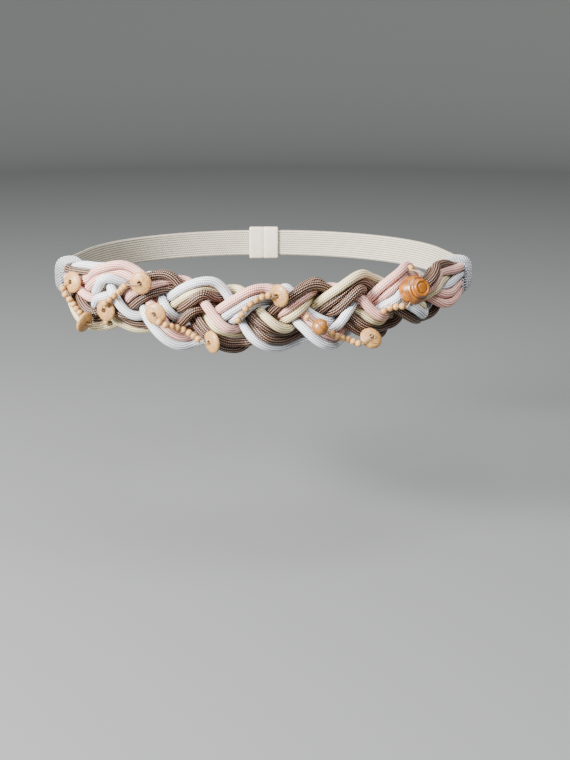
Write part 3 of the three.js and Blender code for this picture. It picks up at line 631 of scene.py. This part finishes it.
def bored(mesh, cutter):
    """A mesh with a straight hole cut through it."""
    body = bpy.data.objects.new("bored_body", mesh)
    drill = bpy.data.objects.new("drill", cutter)
    for thing in (body, drill):
        bpy.context.scene.collection.objects.link(thing)
    cut = body.modifiers.new("bore", "BOOLEAN")
    cut.operation = "DIFFERENCE"
    cut.solver = "EXACT"
    cut.object = drill
    graph = bpy.context.evaluated_depsgraph_get()
    result = bpy.data.meshes.new_from_object(body.evaluated_get(graph))
    for thing in (body, drill):
        bpy.data.objects.remove(thing)
    return result


bowl_points = [(radius * turned_radius, length * turned_length, 0) for radius, length in bowl_shares]
bowl = even_line(bowl_points, bowl_step)
for share in groove_places:
    bowl[:, 0] -= groove_depth * np.exp(-((bowl[:, 1] - share * turned_length) / groove_width) ** 2)
cap = np.array([(radius * turned_radius, length * turned_length) for radius, length in cap_shares])
turned_corners = welded_corners("turned_bead")[0]
turned_middle = (turned_corners.min(axis=0) + turned_corners.max(axis=0)) / 2
turned_stand = stand(belt_way(turned_middle, face_shares), turned_middle, turned_spin)
turned_profile = np.vstack([bowl[:, :2], cap])
turned_body = mesh_of("turned_body", [turned_net(turned_profile, turned_sides, looped=False)])
hole_way = turned_stand.to_3x3().inverted() @ belt_way(turned_middle, hole_shares)
drill_profile = [(turned_bore, -2 * turned_radius), (turned_bore, 2 * turned_radius)]
drill = mesh_of("drill", [turned_net(drill_profile, bore_sides, looped=False)])
drill.transform(hole_way.to_track_quat("Z", "Y").to_matrix().to_4x4())
turned_mesh = bored(turned_body, drill)
turned_mesh.materials.clear()
# Painted shade lies in its three grooves and in the step and ring cut of its flat end.
polished = wood(
    "turned_polished", pale=(0.34, 0.108, 0.007), dark=(0.06, 0.013, 0.001), line_gap=4.5 * MM,
    roughness=0.30, coat=0.40, rings_about="X",
    cuts=[share * turned_length for share in groove_places + cut_places],
)
place("turned_bead_wood", turned_mesh, [polished], "turned_bead", "turned_bead", turned_stand)

# The bead strings: small drilled balls of the same light wood on a thin thread, which goes on through the
# big beads and into the plait. Each ball is turned a little differently on the thread.
small_radius = 2.55 * MM
small_half = 2.4 * MM
small_bore = 0.75 * MM
small_rounding = 0.2 * MM
small_sides = 20
small_steps = 12
smallest_share = 0.97
largest_share = 1.02
thread_radius = 0.5 * MM
thread_step = 0.6 * MM
thread_sides = 8
thread_ribs = 4
thread_stitch = 2
widest_thread = 1.5 * MM
small_birch = wood(
    "birch_small", pale=(0.54, 0.30, 0.105), dark=(0.18, 0.074, 0.021), line_gap=1.0 * MM,
    roughness=birch_roughness, coat=birch_coat,
)
# The thread's colours: painted shade in the gaps between its stitches and a painted highlight on them.
flax_colours = {"painted_gap_shade": (0.15, 0.09, 0.05), "thread": (0.38, 0.26, 0.15), "painted_highlight": (0.5, 0.38, 0.25)}
flax = satin("flax_thread", flax_colours, roughness=0.7)
small_profile = drilled_profile(small_radius, small_half, small_bore, small_rounding, small_steps)
for name in sorted(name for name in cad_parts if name.startswith("bead_string_")):
    rings = rings_of(name)
    middles = np.array([ring.mean(axis=0) for ring in rings])
    widths = np.array([np.linalg.norm(ring - ring.mean(axis=0), axis=1).max() for ring in rings])
    thread_way = []
    beads = []
    for k, width in enumerate(widths):
        if width < widest_thread:
            thread_way.append(middles[k])
        elif k > 0 and widths[k - 1] > widest_thread and (not beads or beads[-1][1] != k - 1):
            beads.append(((middles[k] + middles[k - 1]) / 2, k))
            thread_way.append(beads[-1][0])
    nets = []
    for centre, k in beads:
        corners, faces, chart = turned_net(small_profile, small_sides)
        at = stand(middles[k] - middles[k - 1], centre, rng.uniform(0, 2 * math.pi))
        size = rng.uniform(smallest_share, largest_share)
        corners = size * corners @ np.array(at.to_3x3()).T + np.array(at.translation)
        nets.append((corners, faces, chart))
    thread = even_line(thread_way, thread_step)
    skin = thread[:, None] + thread_radius * ways_round(*across_line(thread), thread_sides)
    nets.append(net(skin, ribs=thread_ribs, lengths=np.arange(len(thread) + 1) / thread_stitch))
    mesh = mesh_of(name + "_beads", nets, [0] * len(beads) + [1])
    place(name + "_beads", mesh, [small_birch, flax], name, "birch_bead")

# The bound ends: white two-ply cord wound tightly round the gathered cords, and closing over them on the
# band. Its turns lie side by side, and its first turn is tucked in.
winding_pitch = 3.3 * MM
winding_turns = 6.0
closing_turns = 3.1
closing_pitch = 1.0 * MM
winding_depth = 10.1 * MM
winding_height = 13.0 * MM
closed_depth = 2.7 * MM
closed_height = 12.2 * MM
winding_square = 3.2
winding_start = 1.7 * MM
winding_girth = 88 * MM
winding_step = 0.65 * MM
tuck_turns = 0.15
tuck_depth = 2 * MM
ply_radius = 0.86 * MM
ply_offset = 0.95 * MM
ply_pitch = 4.2 * MM
ply_sides = 10
ply_ribs = 5
ply_stitch = 1.1 * MM
guide_step = 0.5 * MM
guide_reach = 1.2
# The binding's colours: painted shade in the gaps between its stitches and a painted highlight on them.
binding_colours = {"painted_gap_shade": (0.06, 0.065, 0.075), "thread": (0.44, 0.45, 0.48), "painted_highlight": (0.86, 0.86, 0.88)}
white_binding = satin("binding_satin", binding_colours, roughness=0.30)


def end_guide(side):
    """The middle line of the bound cords and then of the band behind them."""
    rows = []
    for name in cord_names:
        middles = middles_of(name)
        rows.append(middles[-3:] if side == "right" else middles[2::-1])
    bound = np.mean(rows, axis=0)
    band = middles_of("back_band_" + side)
    band = band if side == "right" else band[::-1]
    return np.vstack([bound[-1:] + (bound[:1] - bound[-1:]) * guide_reach, bound[1:], band[1:]])


for side in ("left", "right"):
    guide = even_line(end_guide(side), guide_step)
    lengths = np.arange(len(guide)) * guide_step
    out_way, up_way = across_line(guide)
    all_turns = winding_turns + closing_turns
    turns = np.linspace(0, all_turns, 1 + int(all_turns * winding_girth / winding_step))
    closing = np.clip((turns - winding_turns) / closing_turns, 0, 1)
    tucked = np.clip(1 - turns / tuck_turns, 0, 1)
    wound = winding_pitch * np.minimum(turns, winding_turns)
    along = winding_start + wound + closing_pitch * closing_turns * closing
    half_depth = winding_depth + (closed_depth - winding_depth) * closing - tuck_depth * tucked
    half_height = winding_height + (closed_height - winding_height) * closing - tuck_depth * tucked
    phase = 2 * math.pi * turns
    square = 2 / winding_square
    out_share = half_depth * np.sign(np.cos(phase)) * np.abs(np.cos(phase)) ** square
    up_share = half_height * np.sign(np.sin(phase)) * np.abs(np.sin(phase)) ** square
    middle, out_at, up_at = [
        np.stack([np.interp(along, lengths, way[:, i]) for i in range(3)], axis=1)
        for way in (guide, out_way, up_way)
    ]
    line = even_line(middle + out_at * out_share[:, None] + up_at * up_share[:, None], winding_step)
    run = unit(np.gradient(line, axis=0))
    old_shares = np.linspace(0, 1, len(middle))
    new_shares = np.linspace(0, 1, len(line))
    middle = np.stack([np.interp(new_shares, old_shares, middle[:, i]) for i in range(3)], axis=1)
    lift = unit(line - middle)
    lift = unit(lift - run * (lift * run).sum(axis=1, keepdims=True))
    flat = np.cross(run, lift)
    length = np.arange(len(line)) * winding_step
    nets = []
    for ply in (0, math.pi):
        swing = (2 * math.pi * length / ply_pitch + ply)[:, None]
        ply_line = line + ply_offset * (lift * np.cos(swing) + flat * np.sin(swing))
        skin = ply_line[:, None] + ply_radius * ways_round(lift, flat, ply_sides)
        nets.append(net(skin, ribs=ply_ribs, lengths=np.append(length, 0) / ply_stitch))
    mesh = mesh_of("binding_wound_" + side, nets)
    place("binding_wound_" + side, mesh, [white_binding], "end_binding_" + side, "binding_cord")

# The back bands: plain woven webbing 22 mm wide that runs from the bindings to the clasp at the back.
# Its warp shows as lengthwise ribs with a short step over each weft, between two rounded selvedges.
webbing_half_height = 10.9 * MM
webbing_half_depth = 1.05 * MM
webbing_ribs = 12
webbing_points = 3
webbing_rib_depth = 0.16 * MM
webbing_step_depth = 0.10 * MM
webbing_stitch = 1.6 * MM
selvedge_depth_share = 0.6
selvedge_reach = 1.02
# The webbing's colours: painted shade in the gaps between its ribs and a painted highlight on them.
webbing_colours = {"painted_gap_shade": (0.14, 0.12, 0.085), "thread": (0.50, 0.44, 0.35), "painted_highlight": (0.66, 0.61, 0.51)}
webbing = satin("webbing_woven", webbing_colours, roughness=0.75)
rib_steps = np.linspace(1, -1, webbing_ribs * webbing_points + 1)
valley = np.arange(len(rib_steps)) % webbing_points == 0
odd_rib = (np.arange(len(rib_steps)) // webbing_points) % 2 == 1
outline = np.concatenate([rib_steps, [-selvedge_reach], rib_steps[::-1], [selvedge_reach]])
for side in ("left", "right"):
    line = even_line(middles_of("back_band_" + side), webbing_stitch / 2)
    out_way, up_way = across_line(line)
    dip = (np.arange(len(line))[:, None] + odd_rib[None, :]) % 2 == 0
    thick = webbing_half_depth - webbing_rib_depth * valley - webbing_step_depth * dip * ~valley
    thick[:, [0, -1]] = selvedge_depth_share * webbing_half_depth
    heights = outline * webbing_half_height
    edge = np.zeros((len(line), 1))
    depths = np.hstack([thick, edge, -thick[:, ::-1], edge])
    rings = line[:, None] + up_way[:, None] * heights[None, :, None] + out_way[:, None] * depths[..., None]
    lengths = np.arange(len(line) + 1) / 2
    mesh = mesh_of("webbing_" + side, [net(rings, ribs=2 * webbing_ribs, lengths=lengths)])
    place("webbing_" + side, mesh, [webbing], "back_band_" + side, "woven_band")

# The clasp: a plain moulded plastic body at the middle of the back, with softened edges, a mouth for each
# band and a fine seam round its middle, where its two halves meet.
clasp_low, clasp_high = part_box("back_clasp")
clasp_centre = [(low + high) / 2 for low, high in zip(clasp_low, clasp_high)]
clasp_half_width = (clasp_high[0] - clasp_low[0]) / 2
clasp_half_height = (clasp_high[2] - clasp_low[2]) / 2
clasp_half_depth = 3.2 * MM
clasp_round = 1.3 * MM
clasp_corner = 2.0 * MM
clasp_bow = 208 * MM
round_steps = 7
slot_depth = 8 * MM
slot_half_depth = 1.4 * MM
slot_half_height = 11.3 * MM
slot_corner = 0.6 * MM
lip_round = 0.5 * MM
seam_depth = 0.3 * MM
seam_width = 0.35 * MM
seam_edge_reach = 1.6
seam_edge_share = 0.3
plastic_pale = (0.63, 0.57, 0.47)
plastic_dark = (0.55, 0.49, 0.39)
plastic_roughness = 0.42
plastic_patch_scale = 120
plastic_grain_scale = 2400
plastic_grain_depth = 0.04 * MM


def cornered(half_depth, half_height, corner, steps=6):
    """A rectangle with round corners, as depths and heights."""
    ring = []
    for quarter, (depth_sign, height_sign) in enumerate(((1, 1), (-1, 1), (-1, -1), (1, -1))):
        for t in np.linspace(quarter * math.pi / 2, (quarter + 1) * math.pi / 2, steps):
            ring.append((depth_sign * (half_depth - corner) + corner * math.cos(t),
                         height_sign * (half_height - corner) + corner * math.sin(t)))
    return np.array(ring)


def clasp_side():
    """Sections from the bottom of a slot out over its lip and along the outside to the middle. Each has its
    place, how far it swells, and whether it is in the slot."""
    sections = [(clasp_half_width - slot_depth, 0.0, True), (clasp_half_width - lip_round, 0.0, True)]
    for t in (0.5, 1.0, math.pi / 2):
        reach = clasp_half_width - lip_round * (1 - math.sin(t))
        sections.append((reach, lip_round * (1 - math.cos(t)), True))
    for t in np.linspace(math.pi / 2, 0, round_steps):
        reach = clasp_half_width - clasp_round * (1 - math.sin(t))
        sections.append((reach, -clasp_round * (1 - math.cos(t)), False))
    sections += [(share * clasp_half_width, 0.0, False) for share in (0.7, 0.5, 0.3)]
    sections += [
        (seam_edge_reach * seam_width, 0.0, False),
        (seam_width, -seam_edge_share * seam_depth, False),
        (0.0, -seam_depth, False),
    ]
    return sections


half_sections = clasp_side()
clasp_rings = []
for way, sections in ((-1, half_sections), (1, half_sections[-2::-1])):
    for along, swell, is_slot in sections:
        half_depth = (slot_half_depth if is_slot else clasp_half_depth) + swell
        half_height = (slot_half_height if is_slot else clasp_half_height) + swell
        ring = cornered(half_depth, half_height, slot_corner if is_slot else clasp_corner)
        x = way * along
        sag = x ** 2 / (2 * clasp_bow)
        clasp_rings.append([(clasp_centre[0] + x, clasp_centre[1] + depth - sag, clasp_centre[2] + height)
                            for depth, height in ring])
plastic, plastic_tree, plastic_shader = finish_with("clasp_moulded", plastic_roughness)
plastic_where = plastic_tree.nodes.new("ShaderNodeTexCoord").outputs["Object"]
fine_grain = noise(plastic_tree, plastic_where, plastic_grain_scale, detail=3.0)
plastic_patches = noise(plastic_tree, plastic_where, plastic_patch_scale)
plastic_colour = ramp(plastic_tree, plastic_patches, [(0.3, plastic_dark), (0.7, plastic_pale)])
plastic_tree.links.new(plastic_colour, plastic_shader.inputs["Base Color"])
raised(plastic_tree, plastic_shader, fine_grain, plastic_grain_depth)
clasp_mesh = mesh_of("clasp_body", [net(np.array(clasp_rings))])
place("clasp_body", clasp_mesh, [plastic], "back_clasp", "clasp_shell")
